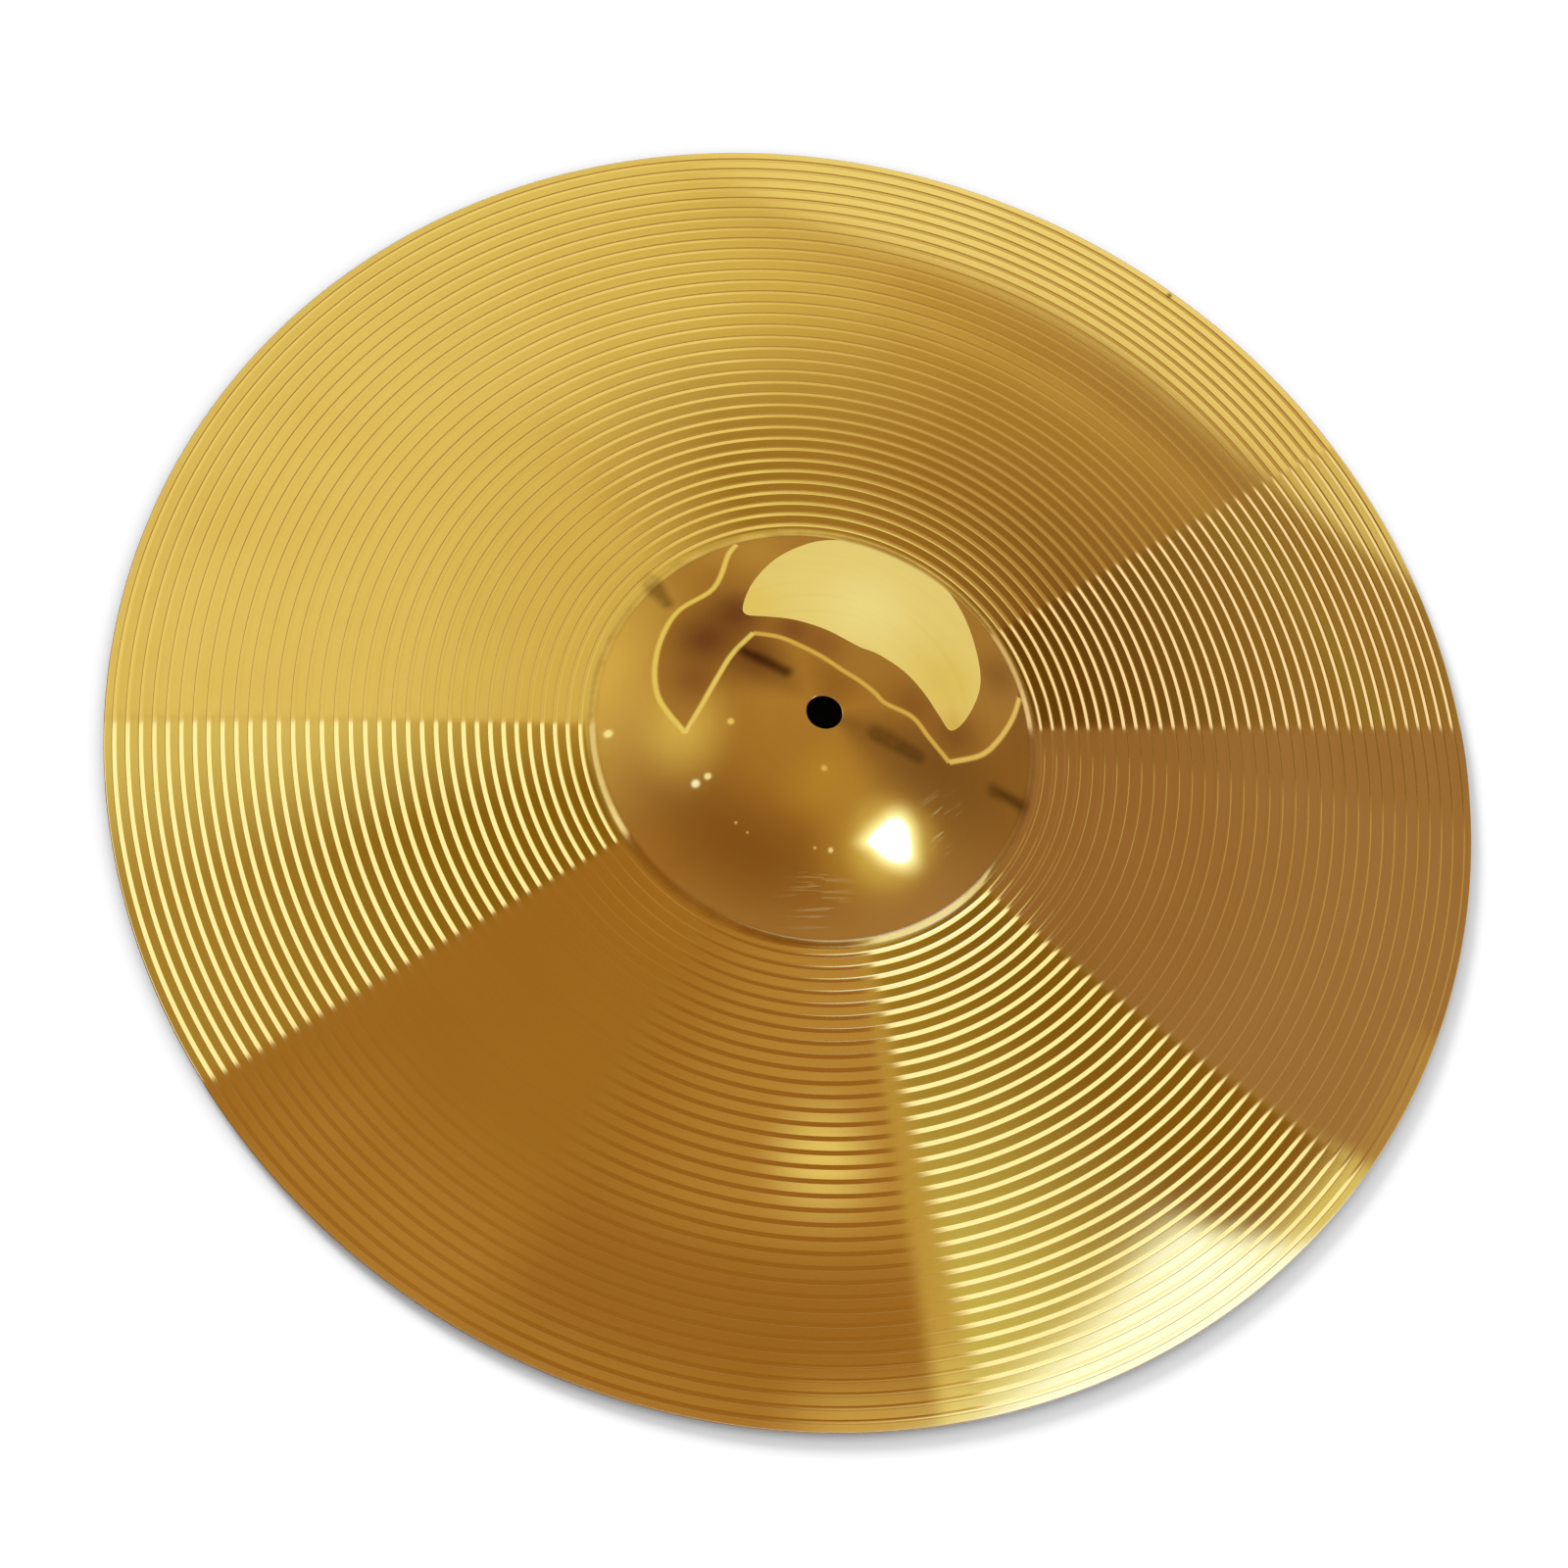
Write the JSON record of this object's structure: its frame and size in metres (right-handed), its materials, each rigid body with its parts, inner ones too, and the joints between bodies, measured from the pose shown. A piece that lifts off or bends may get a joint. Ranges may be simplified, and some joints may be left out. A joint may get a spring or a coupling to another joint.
{
  "type": "crash cymbal",
  "caption": "Round crash cymbal of sheet brass with a raised polished bell, a shallow bowed and grooved playing surface, and a central mounting hole.",
  "frame": {"origin": "centre of the mounting hole, half-way through the sheet", "axes": "+Z along the cymbal's axis, out of the top of the bell, so the rim lies below the origin; X and Y are free, because the cymbal is round"},
  "size_m": [0.4572, 0.4572, 0.0409],
  "materials": {
    "brass": "bright brass, lathed bow with turned grooves, polished bell"
  },
  "bodies": {
    "root": {"cymbal": "brass"}
  },
  "joints": []
}
